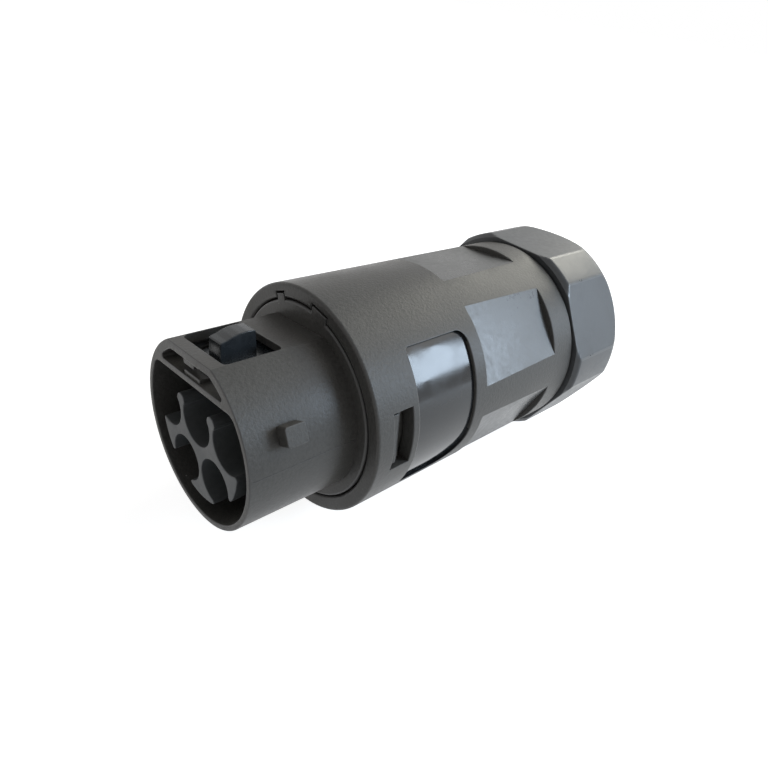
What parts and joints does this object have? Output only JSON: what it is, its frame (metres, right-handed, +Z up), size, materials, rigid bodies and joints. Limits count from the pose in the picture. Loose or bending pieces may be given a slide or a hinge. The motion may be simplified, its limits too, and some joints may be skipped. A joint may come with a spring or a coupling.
{
  "type": "microinverter ac connector",
  "caption": "Round AC cable connector with a latched mating nose, contact web, sleeve with wrench flats and hexagonal gland nut.",
  "frame": {"origin": "on the connector's axis, at the plane of the sleeve's front rim", "axes": "+X along the axis towards the gland nut, +Z up as the connector lies on a flat of its nut; the latch is turned 6.6 degrees from +Z towards +Y, and the label recess faces -Y"},
  "size_m": [0.0783, 0.0372, 0.035],
  "materials": {
    "shell_plastic": "finely spark-eroded black nylon, matte",
    "latch_plastic": "smooth blue-black acetal",
    "insulator_plastic": "black nylon, fine texture",
    "plated_contact": "silver plated, satin",
    "clamp_brass": "turned brass",
    "screw_steel": "zinc plated",
    "seal_rubber": "soft black rubber",
    "claw_plastic": "plain moulded nylon"
  },
  "bodies": {
    "housing": {"nose_shell": "shell_plastic", "cavity_web": "insulator_plastic", "contact_carrier": "insulator_plastic", "terminal_block": "insulator_plastic", "pin_l1": "plated_contact", "pin_l2": "plated_contact", "pin_l3": "plated_contact", "pin_n": "plated_contact", "pin_pe": "plated_contact", "wire_clamp_l1": "clamp_brass", "wire_clamp_l2": "clamp_brass", "wire_clamp_l3": "clamp_brass", "wire_clamp_n": "clamp_brass", "wire_clamp_pe": "clamp_brass", "clamp_screws": "screw_steel", "insert_seal": "seal_rubber", "sleeve": "shell_plastic", "clamp_claw": "claw_plastic", "cable_seal": "seal_rubber"},
    "latch_lever": {"latch": "latch_plastic"},
    "thrust": {"slip_ring": "claw_plastic"},
    "nut": {"gland_nut": "shell_plastic"}
  },
  "joints": [
    {"name": "latch_press", "type": "hinge", "parent": "housing", "child": "latch_lever", "pos_m": [-0.0026, 0.00112, 0.00971], "axis": [0, -0.9934, 0.1149], "range_deg": [0, 5], "stiffness_Nm_per_rad": 0.6, "springref_deg": -1.15},
    {"name": "nut_travel", "type": "slide", "parent": "housing", "child": "thrust", "axis": [1, 0, 0], "range_m": [0, 0.009]},
    {"name": "nut_turn", "type": "hinge", "parent": "thrust", "child": "nut", "pos_m": [0.054, 0, 0], "axis": [1, 0, 0], "range_deg": [0, 2160]}
  ],
  "couplings": [
    {"joint": "nut_travel", "follows": "nut_turn", "m_per_rad": 0.00023873}
  ]
}
